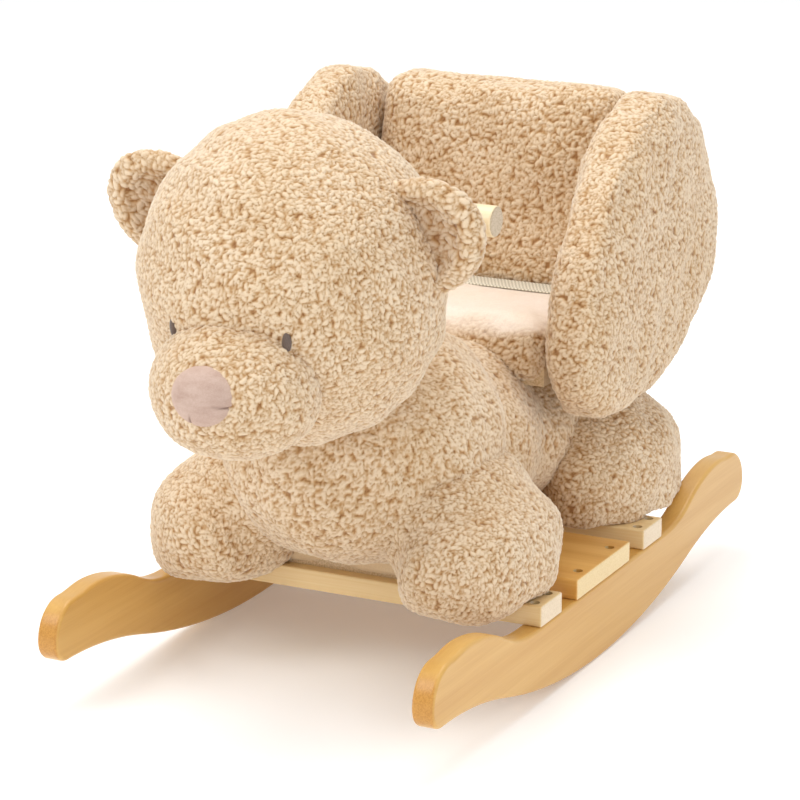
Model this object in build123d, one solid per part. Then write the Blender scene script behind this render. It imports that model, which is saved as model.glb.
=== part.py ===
from build123d import *
import os
from math import asin, cos, sin, sqrt

# Bear rocker: a plush bear with a padded child's seat, screwed to two wooden rockers.
# Frame: the bear faces -Y, its left side is +X, +Z is up. The origin is on the floor, midway
# between the two rockers, under the middle of their arc, where they touch the floor at rest.
# All lengths are millimetres.

# ---- rockers and slats -----------------------------------------------------------------------
GAUGE = 335.0            # over the outer faces of the rockers, also the length of the slats
ROCKER = 18.0            # thickness of a rocker
RISE = 63.0              # floor to the flat top of a rocker
ARC_RADIUS = 660.0       # radius that the rockers roll on
ARC_REACH = 185.0        # half length of the rolling arc
HEEL = (299.5, 43.2)     # end of the flat heel behind the arc, as (along, height)
HEEL_RISE = (246.0, 39.5)    # on the curve between arc and heel
TIP_R = 17.0             # lower round of the end, from the heel to the tip
HORN_R = 30.0            # upper round of the end, from the tip to the horn
CREST = (262.0, 92.5)    # highest point of the turned-up end
SHOULDER = (201.0, 82.0)     # on the curve from crest to flat top
FLAT_REACH = 125.0       # half length of the flat top
ROCKER_EASE = 3.0        # rounding of the rocker's long edges

SLAT = 17.0              # thickness of the cross slats
SLAT_EASE = 1.5
SLATS = {                # name: (middle, depth) along Y
    "front_slat": (-104.0, 40.0),
    "centre_board": (0.0, 108.0),
    "rear_slat": (104.0, 40.0),
}
DECK = RISE + SLAT       # top of the slats

# ---- screws ----------------------------------------------------------------------------------
HEAD_R = 4.0             # countersunk head
SHANK_R = 2.2
SLAT_SCREW = 45.0        # length
SLAT_SINK = 2.5          # how far the heads of the slat screws lie below the wood
SCREW_STEP = 0.3         # screws lie this share of the slat's depth either side of its middle
BASE_SCREW = 28.0
BASE_SCREW_X = 48.0
WING_SCREW = 42.0
WING_SCREW_Y = (50.0, 160.0)

# ---- plywood frame inside the plush ----------------------------------------------------------
PLY = 15.0
BASE_HALF = 75.0         # half width of the base board
BASE_FRONT = -114.0
BASE_REAR = 200.0
SEAT_BASE = 211.0        # underside of the seat board
SEAT_BOARD_HALF = 104.0
SEAT_BOARD_FRONT = 20.0
BULKHEAD_HALF = 80.0
BULKHEADS = {"front_bulkhead": 24.0, "rear_bulkhead": 138.0}   # front faces along Y

# ---- seat ------------------------------------------------------------------------------------
SEAT_HALF = 107.0
SEAT_FRONT = 8.0
SEAT_REAR = 126.0
SEAT_TOP = 266.0
SEAT_SOFT = 20.0         # rounding of the seat cushion's front
BACK_HALF = 112.0
BACK_DEPTH = 60.0
BACK_FOOT = 127.0        # front face of the back cushion at the seat board
BACK_TOP = 432.0
BACK_LEAN = 5.9          # degrees
BACK_SOFT = 20.0
BACK_BOARD = 12.0
BACK_BOARD_HALF = 95.0
BACK_BOARD_IN = 38.0     # behind the cushion's front face
BACK_TONGUE_HALF = 55.0  # the board's tongue goes down through a slot in the seat board
BACK_TONGUE = 48.0

# ---- side wings ------------------------------------------------------------------------------
WING_IN = 113.0          # inner face
WING_DEPTH = 55.0
WING_SOFT = 20.0
WING_OUTLINE = [         # (along Y, height), clockwise seen from the bear's left
    (130.0, 431.0), (212.0, 405.0), (262.0, 330.0), (246.0, 248.0),
    (160.0, 197.0), (40.0, 187.0), (-15.0, 226.0), (-8.0, 300.0), (50.0, 386.0),
]
WING_MIDDLE = (123.0, 305.0)
WING_BOARD = 12.0
WING_BOARD_IN = 7.0      # padding between the wing's inner face and its board
WING_BOARD_SCALE = 0.87

# ---- bear ------------------------------------------------------------------------------------
HEAD = ((0.0, -208.0, 341.0), (118.0, 110.0, 124.0))      # centre, radii
MUZZLE = ((0.0, -300.0, 283.0), (64.0, 54.0, 56.0))
NOSE = ((0.0, -346.0, 284.0), (26.0, 14.0, 22.0))
EYE = ((46.0, -305.0, 321.5), (3.6, 6.0, 7.0))
EAR = (103.0, -209.0, 382.0)
EAR_RADII = (46.5, 56.5)     # along the ear's root, and out from the head
EAR_DEPTH = 22.0
EAR_SPLAY = 60.0             # degrees from upright towards the side
EAR_PITCH = 12.0             # degrees, top edge forward
CHEST = ((0.0, -95.0, 190.0), (118.0, 105.0, 92.0))
WAIST = ((0.0, -10.0, 174.0), (113.0, 100.0, 74.0))
RUMP = ((0.0, 85.0, 163.0), (111.0, 150.0, 66.0))
FRONT_LEG = ((108.0, -110.0, 116.0), (58.0, 88.0, 54.0))
REAR_LEG = ((108.0, 150.0, 112.0), (54.0, 92.0, 60.0))

NECK_HALF = 15.0         # half width of the neck post, across the bear
NECK_DEPTH = 34.0        # front to back, and the width of its round top
NECK_LEAN = 7.0          # degrees, its foot behind its top
HANDLE_R = 12.0
HANDLE_HALF = 130.0
HANDLE_MIDDLE = (0.0, -130.0, 380.5)
HANDLE_EASE = 2.0

# ---- lap belt --------------------------------------------------------------------------------
WEBBING = (25.0, 1.5)    # width, thickness
BELT_Y = 112.0           # middle of the webbing on the seat
BELT_LIFT = 0.4          # clearance under the webbing and the buckle
BELT_X = SEAT_HALF + 0.5     # inner face of the webbing where it goes down beside the cushion
BELT_FOOT = 213.0        # lower end of the webbing
BUCKLE_MOUTH = -62.0     # the housing's mouth, from which the tongue pulls out towards -X
HOUSING = (36.0, 34.0, 11.0)     # length, width, height
CAVITY = (25.0, 27.0, 6.0)       # depth, width, height
PLATE = 20.0             # length of the tongue's plate outside the housing
PRONG = (23.0, 5.0, 5.0)     # length, width, height of the two outer prongs
PRONG_PITCH = 8.6        # middle of an outer prong from the middle of the tongue
PLAY = 0.4               # gap between plate and housing

LOW = (Align.CENTER, Align.CENTER, Align.MIN)
HIGH = (Align.CENTER, Align.CENTER, Align.MAX)
SIDES = {"left": 1, "right": -1}


def ellipsoid(centre, radii):
    """Solid with three radii about its centre."""
    return Pos(*centre) * scale(Sphere(1), by=radii)


def slab(x_span, y_span, z_span):
    """Box between two values on each axis."""
    spans = (x_span, y_span, z_span)
    sizes = [high - low for low, high in spans]
    middle = [(low + high) / 2 for low, high in spans]
    return Pos(*middle) * Box(*sizes)


def on_side(solid, side):
    """A solid drawn on the bear's left, kept there or mirrored to its right."""
    return solid if side > 0 else mirror(solid, about=Plane.YZ)


def rocker_profile():
    """Side view of a rocker as a face across X: half is drawn and the other half mirrored."""
    arc_end = (ARC_REACH, ARC_RADIUS - sqrt(ARC_RADIUS**2 - ARC_REACH**2))
    arc_middle = (ARC_REACH / 2, ARC_RADIUS - sqrt(ARC_RADIUS**2 - (ARC_REACH / 2) ** 2))
    slope = asin(ARC_REACH / ARC_RADIUS)
    tip = (HEEL[0] + TIP_R, HEEL[1] + TIP_R)
    horn = (tip[0] - HORN_R, tip[1] + HORN_R)
    half = [
        ThreePointArc((0, 0), arc_middle, arc_end),
        Spline(arc_end, HEEL_RISE, HEEL, tangents=[(cos(slope), sin(slope)), (1, 0)]),
        TangentArc(HEEL, tip, tangent=(1, 0)),
        TangentArc(tip, horn, tangent=(0, 1)),
        Spline(horn, CREST, SHOULDER, (FLAT_REACH, RISE), tangents=[(-1, 0), (-1, 0)]),
        Line((FLAT_REACH, RISE), (0, RISE)),
    ]
    return Plane.YZ * make_face(half + [mirror(edge, about=Plane.YZ) for edge in half])


def rocker():
    """The bear's left rocker, with the pilot holes of the slat screws."""
    blank = Pos(GAUGE / 2 - ROCKER, 0, 0) * extrude(rocker_profile(), ROCKER)
    sides = blank.faces().filter_by(Axis.X)
    blank = fillet(sides.edges(), ROCKER_EASE)
    for place in slat_screw_places():
        blank -= Pos(*place) * countersunk_screw(SLAT_SCREW)
    return blank


def slat_screw_places():
    """Tops of the twelve screws that hold the slats: two at each end of each slat."""
    across = GAUGE / 2 - ROCKER / 2
    return [
        (side * across, middle + step * SCREW_STEP * depth, DECK - SLAT_SINK)
        for middle, depth in SLATS.values()
        for side in (1, -1)
        for step in (1, -1)
    ]


def countersunk_screw(length):
    """Head up, with the flat of the head at the origin."""
    cone = HEAD_R - SHANK_R
    head = Cone(SHANK_R, HEAD_R, cone, align=HIGH)
    shank = Cylinder(SHANK_R, length - 2 * cone, align=HIGH)
    point = Pos(0, 0, 2 * cone - length) * Cone(0.5, SHANK_R, 2 * cone, align=HIGH)
    return head + shank + point


def with_cross_slot(screw):
    """The cross recess in a screw's head."""
    bar = Box(1.1, HEAD_R * 1.2, 2.4)
    return screw - bar - Rot(0, 0, 90) * bar


def slat(middle, depth):
    """A cross slat with eased edges, its screw holes, and room for the sunk heads."""
    board = fillet(Box(GAUGE, depth, SLAT, align=LOW).edges(), SLAT_EASE)
    board = Pos(0, middle, RISE) * board
    for place in slat_screw_places():
        board -= Pos(*place) * countersunk_screw(SLAT_SCREW)
        board -= Pos(*place) * Cylinder(HEAD_R, SLAT_SINK + SLAT, align=LOW)
    for place in base_screw_places():
        board -= base_screw(place)
    return board


def base_screw_places():
    """Heads of the six screws that come up through the slats into the base board."""
    return [(side * BASE_SCREW_X, middle, RISE) for middle, _ in SLATS.values() for side in (1, -1)]


def base_screw(place):
    """A screw driven upwards, its head flush with the underside of the slat."""
    return Pos(*place) * Rot(180, 0, 0) * countersunk_screw(BASE_SCREW)


def base_board():
    """The plywood floor of the bear, on top of the slats."""
    board = slab((-BASE_HALF, BASE_HALF), (BASE_FRONT, BASE_REAR), (DECK, DECK + PLY))
    for place in base_screw_places():
        board -= base_screw(place)
    return board


def bulkhead(front):
    """An upright panel between the base board and the seat board."""
    return slab((-BULKHEAD_HALF, BULKHEAD_HALF), (front, front + PLY), (DECK + PLY, SEAT_BASE))


def leaning(solid):
    """Tilts what is drawn upright behind the seat back's front face into its real lean."""
    return Pos(0, BACK_FOOT, SEAT_BASE) * Rot(-BACK_LEAN, 0, 0) * solid


def back_height():
    """Length of the seat back along its own slope."""
    return BACK_TOP - SEAT_BASE


def back_board():
    """Plywood back with a tongue that goes down through the seat board."""
    thickness = (BACK_BOARD_IN, BACK_BOARD_IN + BACK_BOARD)
    panel = slab((-BACK_BOARD_HALF, BACK_BOARD_HALF), thickness, (PLY + 2, back_height() - 14))
    tongue = slab((-BACK_TONGUE_HALF, BACK_TONGUE_HALF), thickness, (-BACK_TONGUE, PLY + 2))
    return leaning(panel + tongue)


def seat_board():
    """The board under the seat, slotted for the back board's tongue."""
    span = (-SEAT_BOARD_HALF, SEAT_BOARD_HALF)
    board = slab(span, (SEAT_BOARD_FRONT, BASE_REAR), (SEAT_BASE, SEAT_BASE + PLY))
    return board - back_board() - screws("wing_screws") - screws("belt_screws")


def wing_outline():
    """Closed oval of a side wing, as a face across X."""
    return Plane.YZ * make_face(Spline(*WING_OUTLINE, periodic=True))


def wing_board():
    """Plywood core of the bear's left wing, screwed to the edge of the seat board."""
    core = scale(extrude(wing_outline(), WING_BOARD), by=(1, WING_BOARD_SCALE, WING_BOARD_SCALE))
    shift = [value * (1 - WING_BOARD_SCALE) for value in WING_MIDDLE]
    return Pos(WING_IN + WING_BOARD_IN, *shift) * core - screws("wing_screws")


def wing_cushion():
    """Padded cover of the bear's left wing, around its board."""
    pad = Pos(WING_IN, 0, 0) * extrude(wing_outline(), WING_DEPTH)
    pad = fillet(pad.faces().filter_by(Axis.X).edges(), WING_SOFT)
    return pad - wing_board() - screws("wing_screws")


def seat_cushion():
    """Seat pad, wrapped over the seat board's front and sides."""
    pad = slab((-SEAT_HALF, SEAT_HALF), (SEAT_FRONT, SEAT_REAR), (SEAT_BASE, SEAT_TOP))
    pad = fillet(pad.edges().filter_by(Axis.X).group_by(Axis.Y)[0], SEAT_SOFT)
    return pad - seat_board() - screws("wing_screws") - screws("belt_screws")


def back_cushion():
    """Padded seat back around the back board."""
    pad = slab((-BACK_HALF, BACK_HALF), (0, BACK_DEPTH), (0, back_height()))
    pad = fillet(pad.edges().group_by(Axis.Z)[-1] + pad.edges().filter_by(Axis.Z), BACK_SOFT)
    below = slab((-GAUGE, GAUGE), (0, 2 * BASE_REAR), (0, SEAT_BASE + PLY))
    return leaning(pad) - below - back_board()


def neck_post():
    """Leaning post with a round top, bored for the handle, that carries the head."""
    drop = HANDLE_MIDDLE[2] - DECK
    post = slab((-NECK_HALF, NECK_HALF), (-NECK_DEPTH / 2, NECK_DEPTH / 2), (-drop, 0))
    post += Rot(0, 90, 0) * Cylinder(NECK_DEPTH / 2, 2 * NECK_HALF)
    post = Pos(*HANDLE_MIDDLE) * Rot(NECK_LEAN, 0, 0) * post
    below = slab((-GAUGE, GAUGE), (-GAUGE, GAUGE), (0, DECK + PLY))
    return post - below - handle()


def handle():
    """Dowel through the neck post and the head, with eased ends."""
    dowel = Cylinder(HANDLE_R, 2 * HANDLE_HALF)
    dowel = fillet(dowel.edges().filter_by(GeomType.CIRCLE), HANDLE_EASE)
    return Pos(*HANDLE_MIDDLE) * Rot(0, 90, 0) * dowel


def head():
    """Stuffed head around the neck post and the handle."""
    return ellipsoid(*HEAD) - (neck_post() + handle())


def muzzle():
    """Stuffed muzzle sewn to the front of the head."""
    return ellipsoid(*MUZZLE) - ellipsoid(*HEAD)


def nose():
    """Padded nose sewn to the muzzle."""
    return ellipsoid(*NOSE) - ellipsoid(*MUZZLE) - ellipsoid(*HEAD)


def eye():
    """Embroidered patch on the bear's left of the face."""
    return ellipsoid(*EYE) - ellipsoid(*HEAD) - ellipsoid(*MUZZLE)


def ear():
    """The bear's left ear: half of a flat oval, standing out of the head."""
    flap = extrude(Ellipse(*EAR_RADII), EAR_DEPTH / 2, both=True)
    flap = fillet(flap.edges(), EAR_DEPTH * 0.4)
    turned = Rot(EAR_PITCH, 0, 0) * Rot(0, EAR_SPLAY, 0) * Rot(90, 0, 0)
    return Pos(*EAR) * turned * flap - ellipsoid(*HEAD)


def inner_frame():
    """What the body's stuffing surrounds."""
    pieces = [base_board(), neck_post(), seat_board(), back_board()]
    return pieces + [bulkhead(front) for front in BULKHEADS.values()]


def body():
    """Stuffed chest, waist and rump in one cover, around the frame and under the seat."""
    hull = ellipsoid(*CHEST) + ellipsoid(*WAIST) + ellipsoid(*RUMP)
    hull -= slab((-GAUGE, GAUGE), (SEAT_FRONT - 0.5, 2 * BASE_REAR), (SEAT_BASE, BACK_TOP))
    hull -= ellipsoid(*HEAD)
    hull -= ellipsoid(*MUZZLE)
    for piece in inner_frame():
        hull -= piece
    return hull


def leg(centre, radii):
    """A stuffed leg on the bear's left, shaped by the body, the base board and the slats."""
    paw = ellipsoid(centre, radii) - ellipsoid(*CHEST) - ellipsoid(*WAIST) - ellipsoid(*RUMP)
    for piece in inner_frame():
        paw -= piece
    deck = slab((-GAUGE, GAUGE), (SLATS["front_slat"][0] - SLATS["front_slat"][1] / 2, GAUGE), (0, DECK))
    return paw - deck


def webbing():
    """Half of the lap belt on the bear's left: flat on the seat, then down beside the cushion."""
    width, thickness = WEBBING
    span = (BELT_Y - width / 2, BELT_Y + width / 2)
    level = SEAT_TOP + BELT_LIFT
    lap = slab((housing_span()[1] - 4, BELT_X + thickness), span, (level, level + thickness))
    drop = slab((BELT_X, BELT_X + thickness), span, (BELT_FOOT, level + thickness))
    return lap + drop - screws("belt_screws")


def short_webbing():
    """The other half, from the tongue's plate to the seat's right side."""
    width, thickness = WEBBING
    span = (BELT_Y - width / 2, BELT_Y + width / 2)
    level = SEAT_TOP + BELT_LIFT
    lap = slab((-BELT_X - thickness, BUCKLE_MOUTH - PLATE + 4), span, (level, level + thickness))
    drop = slab((-BELT_X - thickness, -BELT_X), span, (BELT_FOOT, level + thickness))
    return lap + drop - screws("belt_screws")


def housing_span():
    """The housing along X."""
    return (BUCKLE_MOUTH, BUCKLE_MOUTH + HOUSING[0])


def buckle_middle():
    """Height of the buckle's middle plane above the floor."""
    return SEAT_TOP + BELT_LIFT + WEBBING[1] + HOUSING[2] / 2


def buckle_housing():
    """Socket half: a flat box with an open mouth, side windows and a slot for the webbing."""
    length, width, height = HOUSING
    deep, wide, high = CAVITY
    shell = fillet(Box(length, width, height).edges(), 2.0)
    shell -= Pos((deep - length) / 2, 0, 0) * Box(deep, wide, high)
    shell -= Pos((deep - length) / 2 + 1, 0, 0) * Box(deep * 0.5, 2 * width, high)
    shell -= Pos(length / 2 - 5.5, 0, 0) * Box(4, WEBBING[0] + 1, 2 * height)
    return Pos(sum(housing_span()) / 2, BELT_Y, buckle_middle()) * shell


def buckle_tongue():
    """Plug half: a plate with a webbing slot, two outer prongs and a guide between them."""
    length, width, height = PRONG
    plate = fillet(Box(PLATE - PLAY, HOUSING[1], HOUSING[2]).edges(), 2.0)
    plate = Pos(BUCKLE_MOUTH - PLAY - (PLATE - PLAY) / 2, 0, 0) * plate
    plate -= Pos(BUCKLE_MOUTH - PLATE + 5.5, 0, 0) * Box(4, WEBBING[0] + 1, 2 * HOUSING[2])
    reach = Pos(BUCKLE_MOUTH - PLAY + length / 2 - 1, 0, 0)
    for side in (1, -1):
        plate += reach * Pos(0, side * PRONG_PITCH, 0) * Box(length, width, height)
    plate += reach * Box(length, width / 2, height)
    return Pos(0, BELT_Y, buckle_middle()) * plate


def wing_screw_places():
    """Heads of the screws that go through a wing board into the edge of the seat board."""
    outer = WING_IN + WING_BOARD_IN + WING_BOARD
    return [(outer, along, SEAT_BASE + PLY / 2) for along in WING_SCREW_Y]


def belt_screw():
    """Flat-headed screw through the end of the webbing into the seat board, on the left."""
    head = Cylinder(5.5, 2.5, align=LOW)
    shank = Cylinder(SHANK_R, 22, align=HIGH)
    place = Pos(BELT_X + WEBBING[1], BELT_Y, SEAT_BASE + PLY / 2)
    return place * Rot(0, 90, 0) * (head + shank)


def screws(name):
    """Each group of like screws, as one compound of separate solids."""
    if name == "slat_screws":
        one = with_cross_slot(countersunk_screw(SLAT_SCREW))
        group = [Pos(*place) * one for place in slat_screw_places()]
    elif name == "base_screws":
        group = [base_screw(place) for place in base_screw_places()]
    elif name == "wing_screws":
        one = Rot(0, 90, 0) * countersunk_screw(WING_SCREW)
        left = [Pos(*place) * one for place in wing_screw_places()]
        group = left + [mirror(screw, about=Plane.YZ) for screw in left]
    else:
        group = [on_side(belt_screw(), side) for side in SIDES.values()]
    return Compound(children=group)


def all_parts():
    """Every piece by the name of its node."""
    parts = {name: slat(*place) for name, place in SLATS.items()}
    parts.update({name: bulkhead(front) for name, front in BULKHEADS.items()})
    parts["base_board"] = base_board()
    parts["seat_board"] = seat_board()
    parts["back_board"] = back_board()
    parts["neck_post"] = neck_post()
    parts["handle"] = handle()
    parts["seat_cushion"] = seat_cushion()
    parts["back_cushion"] = back_cushion()
    parts["body"] = body()
    parts["head"] = head()
    parts["muzzle"] = muzzle()
    parts["nose"] = nose()
    pairs = {
        "rocker": rocker(),
        "wing_board": wing_board(),
        "wing_cushion": wing_cushion(),
        "eye": eye(),
        "ear": ear(),
        "front_leg": leg(*FRONT_LEG),
        "rear_leg": leg(*REAR_LEG),
    }
    for name, solid in pairs.items():
        for side_name, side in SIDES.items():
            parts[f"{name}_{side_name}"] = on_side(solid, side)
    parts["belt_long"] = webbing()
    parts["belt_short"] = short_webbing()
    parts["buckle_housing"] = buckle_housing()
    parts["buckle_tongue"] = buckle_tongue()
    for name in ("slat_screws", "base_screws", "wing_screws", "belt_screws"):
        parts[name] = screws(name)
    return parts


os.makedirs("parts", exist_ok=True)
for node, shape in all_parts().items():
    export_step(shape, f"parts/{node}.step")
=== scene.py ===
import math

import bmesh
import bpy
import numpy as np
from mathutils import Euler, Matrix, Vector, kdtree


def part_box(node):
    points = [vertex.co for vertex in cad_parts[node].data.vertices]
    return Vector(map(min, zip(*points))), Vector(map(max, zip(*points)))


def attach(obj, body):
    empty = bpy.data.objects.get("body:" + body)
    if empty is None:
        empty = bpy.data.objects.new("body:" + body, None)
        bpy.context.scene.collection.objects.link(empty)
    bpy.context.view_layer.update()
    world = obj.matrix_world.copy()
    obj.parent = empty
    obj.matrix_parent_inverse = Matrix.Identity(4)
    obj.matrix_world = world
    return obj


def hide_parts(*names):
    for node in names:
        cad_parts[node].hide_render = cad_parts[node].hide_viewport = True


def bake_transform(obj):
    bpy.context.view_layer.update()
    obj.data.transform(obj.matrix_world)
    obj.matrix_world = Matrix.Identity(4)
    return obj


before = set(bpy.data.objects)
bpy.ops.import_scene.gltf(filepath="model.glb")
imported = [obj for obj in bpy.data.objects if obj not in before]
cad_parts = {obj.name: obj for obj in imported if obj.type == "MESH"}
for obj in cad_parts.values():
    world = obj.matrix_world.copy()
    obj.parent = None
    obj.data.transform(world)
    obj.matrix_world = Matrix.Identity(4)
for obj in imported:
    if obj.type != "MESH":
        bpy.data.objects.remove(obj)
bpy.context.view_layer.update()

# Plush bear rocker. Metres; the bear faces -Y, its left is +X, +Z is up, the floor is at z = 0.
# The wood, the screws and the buckle are the CAD nodes with new materials. The stuffed pieces
# are made here: a closed shape, blown up by cloth simulation, then covered with curly pile.
# The nose, the eyes and the lap belt are modelled directly.

BODY = "bear_rocker"         # the moving body that carries nearly everything
SIDES = {"left": 1, "right": -1}

# ---- making soft shapes ----------------------------------------------------------------------
COARSE = 0.0055          # mesh size during cloth simulation
FINE = 0.00125           # mesh size that carries the pile
PRESSURE = 4.0
FRAMES = 20              # length of the simulation
SWELL_WAVES = 6          # waves that make up the unevenness of a stuffed cover
SWELL_LENGTH = 0.06      # their mean length
UNEVEN = 0.002           # height of that unevenness
UNEVEN_SMALL = 0.001     # and on small or flat pieces
PUFF = {                 # how far the simulation may move a point of each piece
    "body": 0.006, "head": 0.008, "muzzle": 0.004, "ear": 0.002,
    "leg": 0.005, "wing": 0.004, "back": 0.003, "seat": 0.002,
}
SEED = {                 # start of the random draws of each piece
    "body": 11, "head": 21, "muzzle": 31, "ear": 41, "front_leg": 51,
    "rear_leg": 61, "wing": 71, "back": 81, "seat": 91, "seat_edge": 5,
}

# ---- curly pile ------------------------------------------------------------------------------
CURL_STEP = 0.0045       # spacing of the curls
CURL_LONG = 1.65         # a curl's length and width as shares of the spacing
CURL_WIDE = 0.70
CURL_BEND = 0.55         # how far a curl's ends bend aside
CURL_GAP = 0.34          # how soon a curl's side turns down into the gap beside it
CURL_TALL = (0.75, 1.0)  # lowest and highest curl
CURL_FLOOR = 0.25        # lowest level of a curl's end
CURL_DEEP = 0.35         # level of the gaps as a share of the curls beside them
CURL_HEIGHT = 0.0025     # height in metres of a level of 1
CURL_REST = 0.6          # the level that stays on the stuffed surface
CURL_NEAR = 10           # curls looked at for each point of the surface


# ==== mesh helpers ============================================================================

def new_object(name, mesh):
    """Puts a mesh in the scene."""
    obj = bpy.data.objects.new(name, mesh)
    bpy.context.scene.collection.objects.link(obj)
    return obj


def from_bmesh(name, bm):
    """Turns a bmesh into an object with smooth shading."""
    mesh = bpy.data.meshes.new(name)
    bm.to_mesh(mesh)
    bm.free()
    mesh.shade_smooth()
    return new_object(name, mesh)


def points_of(obj):
    """Vertices as an array with one row each."""
    values = np.empty(len(obj.data.vertices) * 3, np.float32)
    obj.data.vertices.foreach_get("co", values)
    return values.reshape(-1, 3).astype(float)


def set_points(obj, points):
    """Moves every vertex."""
    obj.data.vertices.foreach_set("co", points.astype(np.float32).ravel())
    obj.data.update()


def normals_of(obj):
    """Unit normal at every vertex."""
    values = np.empty(len(obj.data.vertices) * 3, np.float32)
    obj.data.vertices.foreach_get("normal", values)
    return values.reshape(-1, 3).astype(float)


def apply_modifiers(obj):
    """Replaces the object's mesh with what its modifiers make of it."""
    graph = bpy.context.evaluated_depsgraph_get()
    mesh = bpy.data.meshes.new_from_object(obj.evaluated_get(graph))
    obj.modifiers.clear()
    obj.data = mesh
    mesh.shade_smooth()


def remesh(obj, size):
    """One closed skin of even small faces."""
    modifier = obj.modifiers.new("remesh", "REMESH")
    modifier.mode = "VOXEL"
    modifier.voxel_size = size
    apply_modifiers(obj)


def soften(obj, times):
    """Evens out creases."""
    modifier = obj.modifiers.new("soften", "SMOOTH")
    modifier.factor = 0.5
    modifier.iterations = times
    apply_modifiers(obj)


def divide(obj):
    """One level of subdivision."""
    obj.modifiers.new("divide", "SUBSURF").levels = 1
    apply_modifiers(obj)


def join(name, parts):
    """Several closed shapes in one mesh."""
    bm = bmesh.new()
    for part in parts:
        bm.from_mesh(part.data)
        bpy.data.objects.remove(part)
    return from_bmesh(name, bm)


def fit(obj, low, high):
    """Stretches a shape to fill a box."""
    points = points_of(obj)
    bottom = points.min(axis=0)
    span = points.max(axis=0) - bottom
    low = np.array(low)
    set_points(obj, low + (points - bottom) / span * (np.array(high) - low))


def blow_up(obj, most):
    """Cloth simulation under inner pressure; no point moves further than most."""
    start = points_of(obj)
    cloth = obj.modifiers.new("cloth", "CLOTH")
    cloth.settings.use_pressure = True
    cloth.settings.uniform_pressure_force = PRESSURE
    cloth.settings.effector_weights.gravity = 0
    for number in range(1, FRAMES + 1):
        bpy.context.scene.frame_set(number)
    apply_modifiers(obj)
    step = points_of(obj) - start
    length = np.linalg.norm(step, axis=1, keepdims=True)
    set_points(obj, start + step * np.minimum(1.0, most / np.maximum(length, 1e-9)))
    bpy.context.scene.frame_set(1)


# ==== pile ====================================================================================

def swell(points, seed):
    """Gentle random unevenness between about -1 and 1, as stuffing gives a cover."""
    random = np.random.default_rng(seed)
    total = np.zeros(len(points))
    for _ in range(SWELL_WAVES):
        wave = random.normal(size=3)
        wave *= 2 * math.pi / SWELL_LENGTH / np.linalg.norm(wave) * random.uniform(0.6, 1.6)
        total += np.sin(points @ wave + random.uniform(0, 2 * math.pi))
    return total / (SWELL_WAVES / 2)


def curl_centres(points, random, step):
    """One vertex out of each small cell of space, as the centres of the curls."""
    order = random.permutation(len(points))
    cells = np.floor(points[order] / step).astype(np.int64)
    _, first = np.unique(cells, axis=0, return_index=True)
    return order[first]


def curl_heights(points, normals, seed, step):
    """Level of the pile at every vertex: low in the gaps between curls, near 1 on their backs."""
    random = np.random.default_rng(seed)
    chosen = curl_centres(points, random, step)
    centres = points[chosen]
    up = normals[chosen]
    along = np.cross(up, random.normal(size=centres.shape))
    along /= np.linalg.norm(along, axis=1, keepdims=True)
    aside = np.cross(up, along)
    bend = random.uniform(-CURL_BEND, CURL_BEND, len(chosen))
    tall = random.uniform(*CURL_TALL, len(chosen))
    tree = kdtree.KDTree(len(centres))
    for index, centre in enumerate(centres):
        tree.insert(centre, index)
    tree.balance()
    near = np.array([[hit[1] for hit in tree.find_n(point, CURL_NEAR)] for point in points])
    level = np.empty(near.shape)
    for place, column in enumerate(near.T):
        offset = (points - centres[column]) / step
        down = np.einsum("ij,ij->i", offset, along[column])
        across = np.einsum("ij,ij->i", offset, aside[column]) + bend[column] * down**2
        out = np.einsum("ij,ij->i", offset, up[column])
        level[:, place] = tall[column] - (down / CURL_LONG)**2 - (across / CURL_WIDE)**2 - out**2
    second, first = np.sort(level, axis=1)[:, -2:].T
    side = np.clip((first - second) / CURL_GAP, 0, 1)
    rise = np.sqrt(side * (2 - side))
    return np.clip(first, CURL_FLOOR, 1) * (CURL_DEEP + (1 - CURL_DEEP) * rise)


def add_attribute(obj, name, values):
    """Stores one number for each vertex, for the material."""
    attribute = obj.data.attributes.new(name, "FLOAT", "POINT")
    attribute.data.foreach_set("value", values.astype(np.float32))


def grow_pile(obj, seed, step, amount=None):
    """Displaces a fine skin into curls. From the points and their normals, amount works out each
    point's share of the full height."""
    points = points_of(obj)
    normals = normals_of(obj)
    heights = curl_heights(points, normals, seed, step)
    share = np.ones(len(points)) if amount is None else amount(points, normals)
    lift = (heights - CURL_REST) * CURL_HEIGHT * step / CURL_STEP * share
    set_points(obj, points + normals * lift[:, None])
    add_attribute(obj, "pile", heights)
    add_attribute(obj, "curl", share)


def plush(obj, seed, amount=None, uneven=UNEVEN, fine=FINE, step=CURL_STEP):
    """From a coarse stuffed shape to the finished furry surface."""
    points = points_of(obj)
    set_points(obj, points + normals_of(obj) * (uneven * swell(points, seed))[:, None])
    divide(obj)
    remesh(obj, fine)
    soften(obj, 2)
    grow_pile(obj, seed, step, amount)


# ==== materials ===============================================================================

def srgb(red, green, blue):
    """Colour from screen values of 0 to 255."""
    def linear(value):
        value /= 255
        return value / 12.92 if value <= 0.04045 else ((value + 0.055) / 1.055) ** 2.4
    return (linear(red), linear(green), linear(blue), 1.0)


MIX_INPUTS = (0, 6, 7)       # a colour mix's factor and its two colours
MIX_OUTPUT = 2
WHITE = (1, 1, 1, 1)


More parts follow.
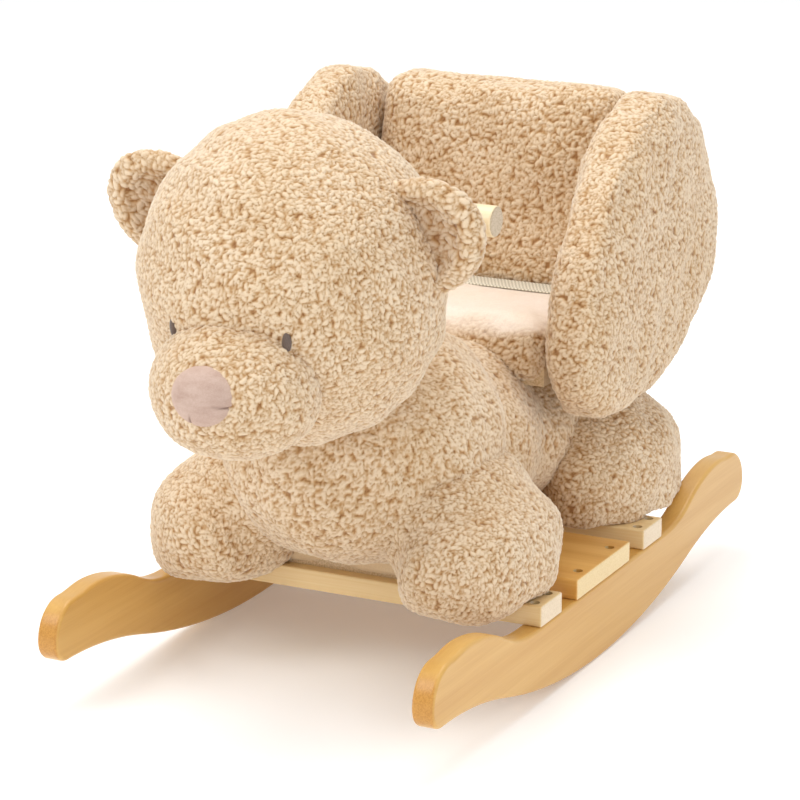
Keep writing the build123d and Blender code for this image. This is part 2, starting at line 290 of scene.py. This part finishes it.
class Nodes:
    """A new material with its shader, and short ways to add and join nodes."""

    def __init__(self, name):
        self.material = bpy.data.materials.new(name)
        self.material.use_nodes = True
        self.tree = self.material.node_tree
        self.shader = self.tree.nodes["Principled BSDF"]

    def add(self, kind, **values):
        """A node. Each value is one of its inputs, with _ for a space, or one of its settings."""
        node = self.tree.nodes.new("ShaderNode" + kind)
        for key, value in values.items():
            socket = key.replace("_", " ")
            if socket in node.inputs:
                node.inputs[socket].default_value = value
            else:
                setattr(node, key, value)
        return node

    def link(self, source, target):
        """Joins an output to an input."""
        self.tree.links.new(source, target)

    def place(self, stretch=(1, 1, 1), turn=(0, 0, 0)):
        """Object coordinates, stretched and turned."""
        mapping = self.add("Mapping", Scale=stretch, Rotation=turn)
        self.link(self.add("TexCoord").outputs["Object"], mapping.inputs["Vector"])
        return mapping.outputs["Vector"]

    def noise(self, where, scale, detail=3.0, roughness=0.55):
        """Soft random values around 0.5."""
        node = self.add("TexNoise", Scale=scale, Detail=detail, Roughness=roughness)
        self.link(where, node.inputs["Vector"])
        return node.outputs["Fac"]

    def ramp(self, source, *stops):
        """Colour by value: each stop is (place, colour)."""
        node = self.add("ValToRGB")
        elements = node.color_ramp.elements
        while len(elements) < len(stops):
            elements.new(0.5)
        for element, (place, colour) in zip(elements, stops):
            element.position = place
            element.color = colour
        self.link(source, node.inputs["Fac"])
        return node.outputs["Color"]

    def math(self, operation, first, second, clamp=False):
        """Arithmetic on two sockets or numbers."""
        node = self.add("Math", operation=operation, use_clamp=clamp)
        for socket, value in zip(node.inputs, (first, second)):
            if isinstance(value, (int, float)):
                socket.default_value = value
            else:
                self.link(value, socket)
        return node.outputs["Value"]

    def mix(self, factor, first, second, blend="MIX"):
        """One colour over another; the factor and the colours are sockets or values."""
        node = self.add("Mix", data_type="RGBA", blend_type=blend)
        for place, value in zip(MIX_INPUTS, (factor, first, second)):
            if isinstance(value, (int, float, tuple)):
                node.inputs[place].default_value = value
            else:
                self.link(value, node.inputs[place])
        return node.outputs[MIX_OUTPUT]

    def attribute(self, name):
        """A number stored on the mesh, 0 where the mesh has none of that name."""
        return self.add("Attribute", attribute_name=name).outputs["Fac"]

    def bump(self, height, strength, distance):
        """Fine relief that is too small for the mesh."""
        node = self.add("Bump", Strength=strength, Distance=distance)
        self.link(height, node.inputs["Height"])
        self.link(node.outputs["Normal"], self.shader.inputs["Normal"])

    def colour(self, source):
        """The surface's colour."""
        self.link(source, self.shader.inputs["Base Color"])

    def roughness(self, source, low, high):
        """Roughness between two values by a factor."""
        node = self.add("MapRange", To_Min=low, To_Max=high)
        self.link(source, node.inputs["Value"])
        self.link(node.outputs["Result"], self.shader.inputs["Roughness"])

    def finish(self, **values):
        """Constant values, straight on the shader's sockets."""
        for key, value in values.items():
            self.shader.inputs[key.replace("_", " ")].default_value = value
        return self.material


def plush_material(name, gap_shade, middle, tip, smooth):
    """Curly pile: pale tips over a warm tone in the gaps between the curls that is painted shade,
    with fine fibres and slow colour drift. It is darker in an ear's hollow, by painted shade, and
    a short smooth cloth where the cover isn't curly."""
    n = Nodes(name)
    where = n.place()
    # painted shade: the pile's gap tone darkens the recesses between the curls
    pile = n.ramp(n.attribute("pile"), (0.10, gap_shade), (0.38, middle), (0.80, tip))
    # painted shade in an ear's hollow, mixed towards the gap tone
    pile = n.mix(n.math("MULTIPLY", n.attribute("shade"), 0.45), pile, gap_shade)
    pile = n.mix(n.attribute("curl"), smooth, pile)
    drift = n.ramp(n.noise(where, 22), (0.35, (0.95, 0.92, 0.87, 1)), (0.65, WHITE))
    fibres = n.noise(where, 1100, detail=4, roughness=0.7)
    lint = n.ramp(fibres, (0.3, (0.88, 0.85, 0.82, 1)), (0.65, WHITE))
    n.colour(n.mix(1.0, n.mix(1.0, pile, drift, "MULTIPLY"), lint, "MULTIPLY"))
    n.roughness(fibres, 0.85, 1.0)
    n.bump(fibres, 0.6, 0.0006)
    return n.finish(Sheen_Weight=0.55, Sheen_Roughness=0.5, Sheen_Tint=srgb(255, 250, 242),
                    Specular_IOR_Level=0.1)


def nose_material():
    """Short brushed nap, with painted shade in the darts."""
    dark = srgb(176, 146, 132)
    light = srgb(208, 184, 170)
    n = Nodes("nose_fabric")
    nap = n.noise(n.place(), 1400, detail=4, roughness=0.75)
    brushed = n.noise(n.place((1, 1, 3)), 60)
    both = n.math("ADD", n.math("MULTIPLY", nap, 0.6), n.math("MULTIPLY", brushed, 0.4))
    colour = n.ramp(both, (0.3, dark), (0.65, light))
    # painted shade in the darts' grooves
    n.colour(n.mix(n.attribute("dart_shade"), colour, srgb(96, 66, 52)))
    n.roughness(nap, 0.75, 0.95)
    n.bump(nap, 0.35, 0.0004)
    return n.finish(Sheen_Weight=0.5, Sheen_Roughness=0.4, Sheen_Tint=light,
                    Specular_IOR_Level=0.15)


GRAIN = (2.2, 60.0)          # noise scale of the grain, along it and across it
PORES = (14.0, 900.0)


def grain_scale(along, scales):
    """Noise scale on each axis of wood whose grain runs along one of them."""
    return [scales[0] if axis == along else scales[1] for axis in "XYZ"]


def wood_material(name, along, face, end):
    """Lacquered wood with its grain along one axis. The tones of its faces and of its end grain
    are pairs of dark and light."""
    n = Nodes(name)
    grain = n.noise(n.place(grain_scale(along, GRAIN)), 1.0, detail=5, roughness=0.6)
    pores = n.noise(n.place(grain_scale(along, PORES)), 1.0, detail=2)
    streaks = n.math("ADD", n.math("MULTIPLY", grain, 0.75), n.math("MULTIPLY", pores, 0.25))
    faces = n.ramp(streaks, (0.34, face[0]), (0.62, face[1]))
    ends = n.ramp(pores, (0.34, end[0]), (0.62, end[1]))
    normal = n.add("SeparateXYZ")
    n.link(n.add("TexCoord").outputs["Normal"], normal.inputs["Vector"])
    across = n.math("ABSOLUTE", normal.outputs[along], 0.0)
    sharp = n.math("MULTIPLY", n.math("SUBTRACT", across, 0.55), 4.0, clamp=True)
    n.colour(n.mix(sharp, faces, ends))
    n.roughness(streaks, 0.42, 0.3)
    n.bump(streaks, 0.12, 0.0006)
    return n.finish(Coat_Weight=0.25, Coat_Roughness=0.25, Specular_IOR_Level=0.4)


def steel_material():
    """Plated screws, a little brown."""
    n = Nodes("screw_steel")
    brushed = n.noise(n.place((400, 400, 1500)), 1.0, detail=2)
    n.colour(n.ramp(brushed, (0.3, srgb(96, 84, 70)), (0.7, srgb(150, 138, 120))))
    n.roughness(brushed, 0.3, 0.5)
    return n.finish(Metallic=1.0)


STRIPE = 0.003               # width of the stripes in the strap's herringbone weave


def webbing_material():
    """Herringbone weave: slanting yarns that change direction in stripes along the strap."""
    n = Nodes("webbing")
    wave = n.add("TexWave", wave_type="BANDS", bands_direction="X", Scale=100)
    split = n.add("SeparateXYZ")
    n.link(n.place(), split.inputs["Vector"])
    fold = n.math("PINGPONG", split.outputs["Y"], STRIPE)
    joined = n.add("CombineXYZ")
    slant = n.math("ADD", split.outputs["X"], fold)
    n.link(n.math("ADD", slant, split.outputs["Z"]), joined.inputs["X"])
    n.link(joined.outputs["Vector"], wave.inputs["Vector"])
    fibres = n.noise(n.place(), 2500)
    yarns = n.ramp(wave.outputs["Fac"], (0.2, srgb(140, 128, 98)), (0.7, srgb(246, 240, 222)))
    fuzz = n.ramp(fibres, (0.3, srgb(214, 204, 180)), (0.7, srgb(248, 242, 226)))
    n.colour(n.mix(0.3, yarns, fuzz))
    n.roughness(fibres, 0.7, 0.9)
    n.bump(wave.outputs["Fac"], 0.6, 0.0004)
    return n.finish(Sheen_Weight=0.2)


def plastic_material():
    """Moulded plastic with a fine spark-eroded grain."""
    n = Nodes("buckle_plastic")
    grain = n.noise(n.place(), 1800, detail=2)
    n.colour(n.ramp(grain, (0.3, srgb(205, 192, 170)), (0.7, srgb(216, 204, 184))))
    n.roughness(grain, 0.38, 0.55)
    n.bump(grain, 0.15, 0.0002)
    return n.finish()


def thread_material():
    """Satin stitch: fine parallel threads side by side."""
    n = Nodes("eye_thread")
    wave = n.add("TexWave", wave_type="BANDS", bands_direction="Z", Scale=420, Distortion=0.6)
    n.link(n.place(turn=(0, 0.5, 0)), wave.inputs["Vector"])
    n.colour(n.ramp(wave.outputs["Fac"], (0.1, srgb(62, 48, 42)), (0.8, srgb(128, 108, 96))))
    n.roughness(wave.outputs["Fac"], 0.45, 0.6)
    n.bump(wave.outputs["Fac"], 0.7, 0.0003)
    return n.finish(Sheen_Weight=0.2)


# ==== putting pieces in the model =============================================================

def dress(obj, material):
    """Gives an object one material."""
    obj.data.materials.clear()
    obj.data.materials.append(material)


def soft_piece(obj, material, node):
    """Finishes a stuffed piece that stands for one CAD node."""
    dress(obj, material)
    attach(obj, BODY)
    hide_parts(node)


def mirrored(obj, name):
    """A copy on the bear's right side."""
    bm = bmesh.new()
    bm.from_mesh(obj.data)
    bmesh.ops.scale(bm, vec=(-1, 1, 1), verts=bm.verts)
    bmesh.ops.reverse_faces(bm, faces=bm.faces)
    return from_bmesh(name, bm)


def ball(name, centre, radii, fullness=2.0):
    """Closed ellipsoid skin; a fullness over 2 makes its lower half squarer, as if sat on."""
    bm = bmesh.new()
    bmesh.ops.create_icosphere(bm, subdivisions=5, radius=1.0)
    for vertex in bm.verts:
        down = min(max(-vertex.co.z, 0.0), 0.999)
        wider = (1 - down**fullness) ** (1 / fullness) / math.sqrt(1 - down**2)
        vertex.co.x *= wider
        vertex.co.y *= wider
    bmesh.ops.scale(bm, vec=radii, verts=bm.verts)
    bmesh.ops.translate(bm, vec=centre, verts=bm.verts)
    return from_bmesh(name, bm)


def rounded_pad(name, low, high, soft):
    """Box whose edges are rounded to a radius."""
    bm = bmesh.new()
    bmesh.ops.create_cube(bm, size=2.0)
    bmesh.ops.subdivide_edges(bm, edges=bm.edges, cuts=15, use_grid_fill=True)
    low, high = Vector(low), Vector(high)
    middle, half = (low + high) / 2, (high - low) / 2
    for vertex in bm.verts:
        place = Vector([vertex.co[i] * half[i] for i in range(3)])
        core = Vector([max(-half[i] + soft, min(half[i] - soft, place[i])) for i in range(3)])
        out = place - core
        if out.length > 0:
            place = core + out.normalized() * soft
        vertex.co = middle + place
    return from_bmesh(name, bm)


# ==== the bear ================================================================================

def box_middle(node):
    """Middle and half size of a CAD node's box."""
    low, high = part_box(node)
    return (low + high) / 2, (high - low) / 2


# Middle and half size of the balls that the body and the legs are joined from.
CHEST = ((0.0, -0.095, 0.190), (0.118, 0.105, 0.092))
WAIST = ((0.0, -0.010, 0.174), (0.113, 0.100, 0.074))
RUMP = ((0.0, 0.085, 0.163), (0.111, 0.150, 0.066))
HIP = ((0.085, 0.150, 0.140), (0.060, 0.080, 0.046))
SHOULDER = ((0.080, -0.100, 0.146), (0.060, 0.076, 0.046))
FRONT_LEG = ((0.108, -0.110, 0.118), (0.058, 0.088, 0.050))
REAR_LEG = ((0.108, 0.150, 0.112), (0.054, 0.092, 0.060))
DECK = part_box("front_slat")[1].z
SLAT_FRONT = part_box("front_slat")[0].y
PAW_GAP = 0.001              # between a paw and the slat it rests on
HEM = DECK + 0.017           # where the curly cover ends and the cloth round the base begins
HEM_FADE = 0.003
BASE_BELOW = Vector((0.004, 0.002, -0.001))      # from the board's lowest corner to the cloth's
BASE_ABOVE = Vector((0.004, 0.003, 0.012))       # and from its highest corner
BASE_SOFT = 0.005
BODY_FULLNESS = 3.0
BODY_SOFTEN = 25             # rounds of smoothing where the balls meet
BODY_FINE = 0.0017           # the body's pile has a coarser mesh, as it is the largest piece
LEG_FULLNESS = 3.8
LEG_SOFTEN = 15


def on_deck(points):
    """Presses what would sink into the slats flat onto them."""
    above = points[:, 1] > SLAT_FRONT
    points[above, 2] = np.maximum(points[above, 2], DECK + PAW_GAP)
    return points


def body_curls(points, normals):
    """No curls on the cloth round the base board."""
    return np.clip((points[:, 2] - HEM) / HEM_FADE, 0, 1)


def make_body(material):
    """Chest, waist and rump in one cover, drawn in under the belly round the base board."""
    low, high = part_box("base_board")
    base = rounded_pad("base", low - BASE_BELOW, high + BASE_ABOVE, BASE_SOFT)
    shapes = (CHEST, WAIST, RUMP)
    obj = join("body", [ball("part", *shape, fullness=BODY_FULLNESS) for shape in shapes])
    remesh(obj, COARSE)
    soften(obj, BODY_SOFTEN)
    blow_up(obj, PUFF["body"])
    points = points_of(obj)
    points[:, 2] = np.maximum(points[:, 2], HEM)
    set_points(obj, points)
    remesh(base, COARSE / 2)
    obj = join("body", [obj, base])
    plush(obj, SEED["body"], body_curls, fine=BODY_FINE)
    soft_piece(obj, material, "body")


HEAD_START = 0.97            # the ball that is blown up, as a share of the head's box


def make_head(material):
    """The big round head."""
    low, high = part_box("head")
    middle, half = box_middle("head")
    obj = ball("head", middle, half * HEAD_START)
    remesh(obj, COARSE)
    blow_up(obj, PUFF["head"])
    fit(obj, low, high)
    plush(obj, SEED["head"])
    soft_piece(obj, material, "head")


MUZZLE = ((0.0, -0.300, 0.280), (0.065, 0.054, 0.052))
MUZZLE_FULLNESS = 2.3


def make_muzzle(material):
    """Muzzle, its rear half inside the head."""
    obj = ball("muzzle", *MUZZLE, fullness=MUZZLE_FULLNESS)
    remesh(obj, COARSE)
    blow_up(obj, PUFF["muzzle"])
    plush(obj, SEED["muzzle"], uneven=UNEVEN_SMALL)
    soft_piece(obj, material, "muzzle")


EAR = (0.103, -0.209, 0.382)
EAR_HALF = (0.0435, 0.0535)      # along the root, and outwards
EAR_DEPTH = 0.022
EAR_CUP = 0.011                  # depth of the hollow front
EAR_RIM = 0.78                   # where the hollow ends, as a share of the way to the rim
EAR_BLUNT = 0.6                  # power that squares the rim's section; 1 is an ellipse
EAR_GROW = 0.06                  # extra size at mid thickness
# The next value sets the painted shade that darkens the ear's hollow front.
EAR_HOLLOW_SHADE = (2.2, 2.6)           # the hollow's shade: this, less this for each share of reach
EAR_TURN = (math.radians(12), math.radians(60))
EAR_MESH = 0.004
EAR_CURL = 0.006                 # spacing of the curls on the ears


def ear_place():
    """Where the left ear stands on the head, and how it is turned."""
    turn = Matrix.Rotation(EAR_TURN[0], 4, "X") @ Matrix.Rotation(EAR_TURN[1], 4, "Y")
    return Matrix.Translation(EAR) @ turn


def ear_shape():
    """Flat oval with a hollowed front, its root half inside the head."""
    bm = bmesh.new()
    bmesh.ops.create_icosphere(bm, subdivisions=5, radius=1.0)
    for vertex in bm.verts:
        x, y, z = vertex.co
        reach = math.hypot(x, z)
        flat = math.copysign(abs(y) ** EAR_BLUNT, y) * EAR_DEPTH / 2
        hollow = EAR_CUP * max(0.0, 1 - (reach / EAR_RIM) ** 4) if y < 0 else 0.0
        grow = 1 + EAR_GROW * (1 - abs(y))
        vertex.co = (x * EAR_HALF[0] * grow, flat + hollow, z * EAR_HALF[1] * grow)
    bmesh.ops.transform(bm, matrix=ear_place(), verts=bm.verts)
    return from_bmesh("ear_left", bm)


def ear_hollow_shade(points):
    """Painted shade of the ear's hollow: 1 in the middle of its front, 0 at its rim and behind
    it.
    """
    back = np.array(ear_place().inverted())
    x, y, z = (points @ back[:3, :3].T + back[:3, 3]).T
    reach = np.hypot(x / EAR_HALF[0], z / EAR_HALF[1])
    inside = np.clip(EAR_HOLLOW_SHADE[0] - EAR_HOLLOW_SHADE[1] * reach, 0, 1)
    return inside * np.clip(0.5 - y / EAR_CUP, 0, 1)


def make_ears(material):
    """Both ears."""
    obj = ear_shape()
    remesh(obj, EAR_MESH)
    blow_up(obj, PUFF["ear"])
    plush(obj, SEED["ear"], uneven=UNEVEN_SMALL, step=EAR_CURL)
    # painted shade in the ear's hollow, stored for the material
    add_attribute(obj, "shade", ear_hollow_shade(points_of(obj)))
    other = mirrored(obj, "ear_right")
    soft_piece(obj, material, "ear_left")
    soft_piece(other, material, "ear_right")


def make_legs(material):
    """Four stuffed paws on the slats."""
    legs = {"front_leg": (FRONT_LEG, SHOULDER), "rear_leg": (REAR_LEG, HIP)}
    for kind, shapes in legs.items():
        obj = join(kind, [ball("part", *shape, fullness=LEG_FULLNESS) for shape in shapes])
        remesh(obj, COARSE)
        soften(obj, LEG_SOFTEN)
        blow_up(obj, PUFF["leg"])
        set_points(obj, on_deck(points_of(obj)))
        soften(obj, 2)
        plush(obj, SEED[kind])
        obj.name = kind + "_left"
        other = mirrored(obj, kind + "_right")
        soft_piece(obj, material, kind + "_left")
        soft_piece(other, material, kind + "_right")


NOSE = ((0.0, -0.344, 0.284), (0.026, 0.020, 0.0225))
NOSE_MESH = 0.0012
DARTS = ((0.010, 0.018, 250), (0.012, 0.025, 350))       # inner and outer end, turn in degrees
DART_WIDTH = 0.0008
DART_DEPTH = 0.0012


def make_nose(material):
    """Bulging nose of short nap, gathered by two small darts at its edge."""
    middle, half = Vector(NOSE[0]), NOSE[1]
    obj = ball("nose", middle, half)
    remesh(obj, NOSE_MESH)
    points = points_of(obj)
    normals = normals_of(obj)
    x, z = points[:, 0] - middle.x, points[:, 2] - middle.z
    groove = np.zeros(len(points))
    for inner, outer, turn in DARTS:
        c, s = math.cos(math.radians(turn)), math.sin(math.radians(turn))
        along, across = x * c + z * s, z * c - x * s
        depth = np.clip((along - inner) / (outer - inner), 0, 1)
        groove = np.maximum(groove, depth * np.exp(-((across / DART_WIDTH) ** 2)))
    set_points(obj, points - normals * (groove * DART_DEPTH)[:, None])
    # the darts' painted shade, stored for the material
    add_attribute(obj, "dart_shade", groove)
    soft_piece(obj, material, "nose")


EYE = (0.0455, -0.305, 0.3205)
EYE_HALF = (0.0035, 0.0030, 0.0080)
EYE_PROUD = 0.0025           # how far the stitching stands out from the head


def make_eyes(material):
    """Embroidered ovals that lie on the pile."""
    middle, half = box_middle("head")
    slope = Vector([(EYE[i] - middle[i]) / half[i] ** 2 for i in range(3)]).normalized()
    for side_name, side in SIDES.items():
        obj = ball("eye_" + side_name, (0, 0, 0), EYE_HALF)
        turn = slope.to_track_quat("-Y", "Z").to_matrix().to_4x4()
        obj.data.transform(Matrix.Translation(Vector(EYE) + slope * EYE_PROUD) @ turn)
        if side < 0:
            obj.data.transform(Matrix.Diagonal((-1, 1, 1, 1)))
            obj.data.flip_normals()
        dress(obj, material)
        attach(obj, BODY)
        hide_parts("eye_" + side_name)


# ==== the seat ================================================================================

# The wing's side view, as corners of a smooth line, (y, z).
WING_OUTLINE = [
    (0.125, 0.431), (0.207, 0.407), (0.256, 0.335), (0.241, 0.250),
    (0.155, 0.199), (0.040, 0.187), (-0.015, 0.226), (-0.010, 0.300), (0.040, 0.385),
]
WING_MIDDLE = (0.123, 0.305)
# Rings from the inner face over the band to the outer face: size as a share of the outline,
# and place as a share of the thickness.
WING_RINGS = [
    (0.02, 0.0), (0.50, 0.01), (0.82, 0.04), (0.95, 0.09), (1.0, 0.20),
    (1.0, 0.80), (0.96, 0.90), (0.82, 0.96), (0.50, 0.99), (0.02, 1.0),
]
CURVE_STEPS = 10             # points from one corner to the next


def closed_curve(corners):
    """Smooth closed line through its corners."""
    corners = np.array(corners)
    before, after, last = (np.roll(corners, shift, axis=0) for shift in (1, -1, -2))
    line = []
    for a, b, c, d in zip(before, corners, after, last):
        for t in np.arange(CURVE_STEPS) / CURVE_STEPS:
            line.append(0.5 * (2 * b + (c - a) * t + (2 * a - 5 * b + 4 * c - d) * t**2
                               + (3 * b - a - 3 * c + d) * t**3))
    return np.array(line)


def wing_shape():
    """Thick oval with a band round its edge and domed faces."""
    low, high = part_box("wing_cushion_left")
    line = closed_curve(WING_OUTLINE)
    middle = np.array(WING_MIDDLE)
    width = high.x - low.x
    bm = bmesh.new()
    loops = []
    for share, across in WING_RINGS:
        ring = middle + (line - middle) * share
        loops.append([bm.verts.new((low.x + across * width, y, z)) for y, z in ring])
    for near, far in zip(loops, loops[1:]):
        for i in range(len(near)):
            j = (i + 1) % len(near)
            bm.faces.new((near[i], near[j], far[j], far[i]))
    bm.faces.new(loops[0])
    bm.faces.new(reversed(loops[-1]))
    bmesh.ops.recalc_face_normals(bm, faces=bm.faces)
    return from_bmesh("wing_cushion_left", bm)


def make_wings(material):
    """The two padded side wings."""
    obj = wing_shape()
    low, high = points_of(obj).min(axis=0), points_of(obj).max(axis=0)
    remesh(obj, COARSE)
    blow_up(obj, PUFF["wing"])
    fit(obj, low, high)
    plush(obj, SEED["wing"])
    other = mirrored(obj, "wing_cushion_right")
    soft_piece(obj, material, "wing_cushion_left")
    soft_piece(other, material, "wing_cushion_right")


BACK_LEAN = math.radians(5.9)
BACK_SIZE = (0.112, 0.060, 0.221)     # half width, depth, height
BACK_FOOT = (0, 0.127, 0.211)         # middle of the line that it leans from
BACK_BOTTOM = 0.010                   # height of its lower edge above that line
BACK_SOFT = 0.020


def make_back(material):
    """Seat back, leaning to the rear."""
    half, depth, height = BACK_SIZE
    obj = rounded_pad("back_cushion", (-half, 0, BACK_BOTTOM), (half, depth, height), BACK_SOFT)
    obj.data.transform(Matrix.Translation(BACK_FOOT) @ Matrix.Rotation(-BACK_LEAN, 4, "X"))
    remesh(obj, COARSE)
    blow_up(obj, PUFF["back"])
    plush(obj, SEED["back"])
    soft_piece(obj, material, "back_cushion")


SEAT_SOFT = 0.018
SEAT_TURN = 0.95             # curls begin where the surface's upward part falls below this
SEAT_FADE = 0.6              # and are at full height where it is this much less
SEAT_RAGGED = 0.08           # unevenness of that edge
SEAT_NAP = 0.08              # height of the nap on top, as a share of the curls


def seat_curls(points, normals):
    """Nearly smooth on top of the seat, curly down its front and sides."""
    ragged = SEAT_RAGGED * swell(points, SEED["seat_edge"])
    return np.clip((SEAT_TURN - normals[:, 2] + ragged) / SEAT_FADE, SEAT_NAP, 1)


def make_seat(material):
    """Seat pad."""
    low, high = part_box("seat_cushion")
    obj = rounded_pad("seat_cushion", low, high, SEAT_SOFT)
    remesh(obj, COARSE)
    blow_up(obj, PUFF["seat"])
    fit(obj, low, high)
    plush(obj, SEED["seat"], seat_curls, uneven=UNEVEN_SMALL)
    soft_piece(obj, material, "seat_cushion")


# ==== lap belt ================================================================================

BELT_THICKNESS = 0.0015
BELT_EDGE = 0.001            # width over which the strap thins to its edge
BELT_BEND = 0.008            # radius where it turns down beside the seat


def ribbon(name, path, low, high):
    """Flat strap along a path of (x, z) points, between two values of y, with rounded edges."""
    path = [Vector((x, 0, z)) for x, z in path]
    half = BELT_THICKNESS / 2
    corners = [(low + BELT_EDGE, half), (high - BELT_EDGE, half), (high, half / 2)]
    section = corners + [(y, -rise) for y, rise in reversed(corners)]
    section += [(low, -half / 2), (low, half / 2)]
    bm = bmesh.new()
    loops = []
    for i, point in enumerate(path):
        ahead = path[min(i + 1, len(path) - 1)] - path[max(i - 1, 0)]
        up = Vector((-ahead.z, 0, ahead.x)).normalized()
        loops.append([bm.verts.new(point + up * rise + Vector((0, y, 0))) for y, rise in section])
    for near, far in zip(loops, loops[1:]):
        for i in range(len(section)):
            j = (i + 1) % len(section)
            bm.faces.new((near[i], near[j], far[j], far[i]))
    bm.faces.new(reversed(loops[0]))
    bm.faces.new(loops[-1])
    bmesh.ops.recalc_face_normals(bm, faces=bm.faces)
    return from_bmesh(name, bm)


def belt_path(start, side, foot):
    """From the buckle along the seat, round its edge and down: (x, z) of the strap's middle."""
    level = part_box("belt_long")[1].z - BELT_THICKNESS / 2
    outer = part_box("belt_long")[1].x - BELT_THICKNESS / 2
    inner = outer - BELT_BEND
    below = level - BELT_BEND
    lap = [(x, level) for x in np.linspace(abs(start), inner, 30)]
    turn = [(inner + BELT_BEND * math.sin(angle), below + BELT_BEND * math.cos(angle))
            for angle in np.linspace(0, math.pi / 2, 8)[1:]]
    drop = [(outer, z) for z in np.linspace(below, foot, 12)[1:]]
    return [(side * x, z) for x, z in lap + turn + drop]


def make_belts(material):
    """Both halves of the lap belt."""
    low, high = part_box("belt_long")
    level = high.z - BELT_THICKNESS / 2
    path = [(x, level) for x in np.linspace(low.x, 0, 10)[:-1]] + belt_path(0.0, 1, low.z)
    long = ribbon("belt_long", path, low.y, high.y)
    dress(long, material)
    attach(long, BODY)
    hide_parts("belt_long")
    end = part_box("belt_short")[1].x
    short = ribbon("belt_short", belt_path(end, -1, low.z), low.y, high.y)
    dress(short, material)
    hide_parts("belt_short")
    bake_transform(short)


# ==== carried-over CAD nodes ==================================================================

# Each wood: the axis of its grain, the dark and the light tone of its faces, then of its ends.
WOODS = {
    "rocker_wood": ("Y", (203, 152, 73), (216, 170, 92), (188, 130, 52), (204, 148, 68)),
    "slat_wood": ("X", (222, 188, 130), (236, 210, 160), (222, 200, 166), (234, 214, 184)),
    "centre_wood": ("X", (208, 150, 70), (228, 178, 98), (226, 198, 140), (236, 210, 156)),
    "handle_wood": ("X", (232, 206, 160), (246, 228, 190), (170, 146, 116), (204, 184, 154)),
    "plywood": ("Y", (214, 190, 152), (232, 212, 178), (196, 168, 128), (224, 200, 164)),
}
WOODEN = {
    "rocker_wood": ("rocker_left", "rocker_right"),
    "slat_wood": ("front_slat", "rear_slat"),
    "centre_wood": ("centre_board",),
    "handle_wood": ("handle",),
    "plywood": ("base_board", "seat_board", "back_board", "neck_post", "front_bulkhead",
                "rear_bulkhead", "wing_board_left", "wing_board_right"),
}
SCREWS = ("slat_screws", "base_screws", "wing_screws", "belt_screws")
BUCKLE = ("buckle_housing", "buckle_tongue")


def dress_nodes():
    """Better materials for the wood, steel and plastic that CAD already shaped right."""
    finishes = {steel_material(): SCREWS, plastic_material(): BUCKLE}
    for name, (along, *tones) in WOODS.items():
        face_dark, face_light, end_dark, end_light = (srgb(*tone) for tone in tones)
        wood = wood_material(name, along, (face_dark, face_light), (end_dark, end_light))
        finishes[wood] = WOODEN[name]
    for material, nodes in finishes.items():
        for node in nodes:
            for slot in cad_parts[node].material_slots:
                slot.material = material


# ==== stage ===================================================================================

# Each lamp's place, size and power in watts.
LAMPS = {
    "key": ((-1.2, -2.0, 2.4), 1.6, 31),
    "top": ((-0.2, 0.5, 3.0), 2.4, 50),
    "fill": ((2.4, -1.2, 1.6), 1.8, 9),
}
LAMP_AIM = Vector((0, 0, 0.2))
SKY_STRENGTH = 0.72
FLOOR_HALF = 12
FLOOR_GLOW = 0.15
CAMERA_PLACE = (1.1313, -2.3285, 0.9378)
CAMERA_DOWN = math.radians(16.0675)
CAMERA_TURN = math.radians(26.203)
CAMERA_LENS = 149.4          # mm
CAMERA_SENSOR = 36


def lamp(name, place, size, power):
    """Square soft light that faces the object."""
    light = bpy.data.lights.new(name, "AREA")
    light.size = size
    light.energy = power
    obj = bpy.data.objects.new(name, light)
    obj.location = place
    obj.rotation_euler = (LAMP_AIM - Vector(place)).to_track_quat("-Z", "Y").to_euler()
    bpy.context.scene.collection.objects.link(obj)


def floor_material():
    """Plain white that glows a little, to lift it towards the white of the sky."""
    n = Nodes("floor")
    low, high = (0.93, 0.93, 0.93, 1), (0.95, 0.95, 0.95, 1)
    n.colour(n.ramp(n.noise(n.place(), 3), (0.3, low), (0.7, high)))
    return n.finish(Roughness=0.9, Emission_Color=WHITE, Emission_Strength=FLOOR_GLOW)


def make_stage():
    """White floor, soft light from all round and three lamps."""
    bm = bmesh.new()
    bmesh.ops.create_grid(bm, x_segments=4, y_segments=4, size=FLOOR_HALF)
    floor = from_bmesh("floor", bm)
    dress(floor, floor_material())
    world = bpy.data.worlds.new("studio")
    world.use_nodes = True
    sky = world.node_tree.nodes["Background"].inputs
    sky["Color"].default_value = WHITE
    sky["Strength"].default_value = SKY_STRENGTH
    bpy.context.scene.world = world
    for name, (place, size, power) in LAMPS.items():
        lamp(name, place, size, power)


def make_camera():
    """Long lens, a little above the bear and to its left."""
    camera = bpy.data.cameras.new("camera")
    camera.lens = CAMERA_LENS
    camera.sensor_width = CAMERA_SENSOR
    obj = bpy.data.objects.new("camera", camera)
    obj.location = CAMERA_PLACE
    obj.rotation_euler = Euler((math.pi / 2 - CAMERA_DOWN, 0, CAMERA_TURN))
    bpy.context.scene.collection.objects.link(obj)
    bpy.context.scene.camera = obj


# The pile's colour in its gaps (painted shade), on its slopes (partly painted shade) and at its
# tips (the cloth's own cream), and that of the smooth cloth.
FUR_TONES = ((134, 82, 38), (196, 156, 108), (238, 217, 188))
BASE_TONE = (232, 208, 172)
SEAT_TONE = (255, 242, 230)


def make_all():
    """Every piece, in order."""
    make_camera()
    make_stage()
    bpy.context.scene.view_settings.view_transform = "Standard"
    dress_nodes()
    fur_tones = [srgb(*tone) for tone in FUR_TONES]
    fur = plush_material("plush", *fur_tones, srgb(*BASE_TONE))
    seat = plush_material("seat_fabric", *fur_tones, srgb(*SEAT_TONE))
    make_body(fur)
    make_head(fur)
    make_muzzle(fur)
    make_ears(fur)
    make_legs(fur)
    make_wings(fur)
    make_back(fur)
    make_seat(seat)
    make_nose(nose_material())
    make_eyes(thread_material())
    make_belts(webbing_material())


make_all()
